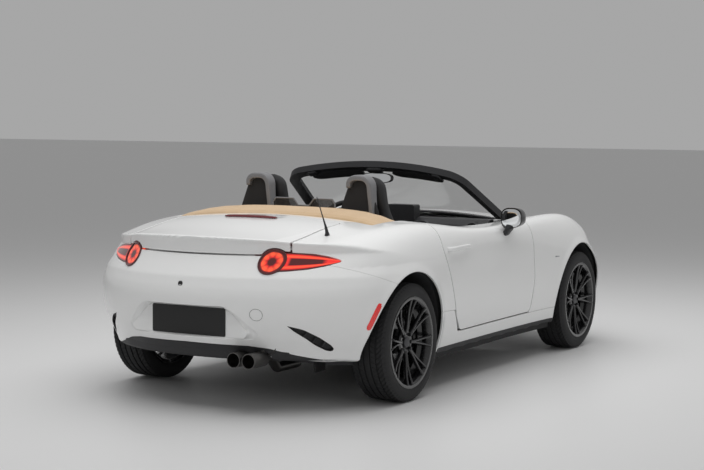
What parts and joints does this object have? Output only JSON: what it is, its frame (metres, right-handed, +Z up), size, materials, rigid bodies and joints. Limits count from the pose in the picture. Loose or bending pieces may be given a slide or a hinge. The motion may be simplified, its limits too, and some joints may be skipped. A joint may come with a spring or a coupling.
{
  "type": "two-seat roadster car",
  "caption": "Two-seat roadster with its soft top folded, opening doors, hood and boot lid, steered front wheels and rolling wheels.",
  "frame": {"origin": "on the ground under the middle of the car's length and width", "axes": "+X forward, +Y to the car's left, +Z up"},
  "size_m": [3.915, 1.9, 1.1998],
  "materials": {
    "body_paint": "pearl white paint under clear lacquer",
    "black_trim": "grained black plastic",
    "gloss_black": "gloss black plastic",
    "structure_paint": "satin body primer and seam paint",
    "screen_glass": "clear laminated glass",
    "lamp_lens_red": "clear red moulded lens",
    "lamp_lens_clear": "clear moulded lens",
    "top_fabric": "tan woven soft top cloth",
    "seat_leather": "black leather with stitched seams",
    "hoop_trim": "satin grey plastic",
    "wheel_black": "gloss black wheel paint",
    "tyre_rubber": "black tyre rubber",
    "axle_steel": "bare and blackened axle metal",
    "exhaust_steel": "brushed stainless steel",
    "engine_alloy": "cast alloy",
    "plate_black": "bare black plate"
  },
  "bodies": {
    "car_body": {"body_tub": "structure_paint", "cowl": "black_trim", "front_wings": "body_paint", "front_bumper": "body_paint", "grille": "black_trim", "headlamps": "lamp_lens_clear", "sills": "body_paint", "rear_quarters": "body_paint", "rear_bumper": "body_paint", "rear_valance": "black_trim", "tail_lamps": "lamp_lens_red", "side_lamps": "lamp_lens_red", "number_plate": "plate_black", "windscreen_frame": "black_trim", "windscreen_glass": "screen_glass", "dashboard": "black_trim", "console": "black_trim", "seats": "seat_leather", "roll_hoops": "hoop_trim", "wind_deflector": "black_trim", "folded_top": "top_fabric", "inner_mirror": "black_trim", "antenna": "black_trim", "front_suspension": "axle_steel", "rear_suspension": "axle_steel", "rear_uprights": "axle_steel", "engine": "engine_alloy", "driveline": "axle_steel", "exhaust": "exhaust_steel"},
    "hood": {"hood": "body_paint"},
    "trunk_lid": {"trunk_lid": "body_paint", "stop_lamp": "lamp_lens_red"},
    "door_right": {"door_right": "body_paint", "door_trim_right": "black_trim", "mirror_right": "gloss_black"},
    "door_left": {"door_left": "body_paint", "door_trim_left": "black_trim", "mirror_left": "gloss_black"},
    "steering_wheel": {"steering_wheel": "seat_leather"},
    "knuckle_right": {"knuckle_right": "axle_steel"},
    "knuckle_left": {"knuckle_left": "axle_steel"},
    "wheel_front_right": {"wheel_front_right": "wheel_black", "tyre_front_right": "tyre_rubber"},
    "wheel_front_left": {"wheel_front_left": "wheel_black", "tyre_front_left": "tyre_rubber"},
    "wheel_rear_right": {"wheel_rear_right": "wheel_black", "tyre_rear_right": "tyre_rubber"},
    "wheel_rear_left": {"wheel_rear_left": "wheel_black", "tyre_rear_left": "tyre_rubber"}
  },
  "joints": [
    {"name": "door_right_hinge", "type": "hinge", "parent": "car_body", "child": "door_right", "pos_m": [0.58, -0.838, 0.6], "axis": [0, 0, 1], "range_deg": [0, 65]},
    {"name": "door_left_hinge", "type": "hinge", "parent": "car_body", "child": "door_left", "pos_m": [0.58, 0.838, 0.6], "axis": [0, 0, -1], "range_deg": [0, 65]},
    {"name": "hood_hinge", "type": "hinge", "parent": "car_body", "child": "hood", "pos_m": [0.57, 0, 0.874], "axis": [0, -1, 0], "range_deg": [0, 58]},
    {"name": "trunk_lid_hinge", "type": "hinge", "parent": "car_body", "child": "trunk_lid", "pos_m": [-1.193, 0, 0.945], "axis": [0, 1, 0], "range_deg": [0, 70]},
    {"name": "steer_right", "type": "hinge", "parent": "car_body", "child": "knuckle_right", "pos_m": [1.204, -0.688, 0.308], "axis": [0, 0, 1], "range_deg": [-32, 32]},
    {"name": "steer_left", "type": "hinge", "parent": "car_body", "child": "knuckle_left", "pos_m": [1.204, 0.688, 0.308], "axis": [0, 0, 1], "range_deg": [-32, 32]},
    {"name": "steering_wheel_turn", "type": "hinge", "parent": "car_body", "child": "steering_wheel", "pos_m": [0.235, 0.34, 0.775], "axis": [-0.9207, 0, 0.3903], "range_deg": [-464, 464]},
    {"name": "wheel_front_right_spin", "type": "hinge", "parent": "knuckle_right", "child": "wheel_front_right", "pos_m": [1.204, -0.748, 0.308], "axis": [0, 1, 0], "continuous": true},
    {"name": "wheel_front_left_spin", "type": "hinge", "parent": "knuckle_left", "child": "wheel_front_left", "pos_m": [1.204, 0.748, 0.308], "axis": [0, 1, 0], "continuous": true},
    {"name": "wheel_rear_right_spin", "type": "hinge", "parent": "car_body", "child": "wheel_rear_right", "pos_m": [-1.106, -0.752, 0.308], "axis": [0, 1, 0], "continuous": true},
    {"name": "wheel_rear_left_spin", "type": "hinge", "parent": "car_body", "child": "wheel_rear_left", "pos_m": [-1.106, 0.752, 0.308], "axis": [0, 1, 0], "continuous": true}
  ],
  "couplings": [
    {"joint": "steer_left", "follows": "steer_right", "ratio": 1},
    {"joint": "steering_wheel_turn", "follows": "steer_right", "ratio": 14.5}
  ]
}
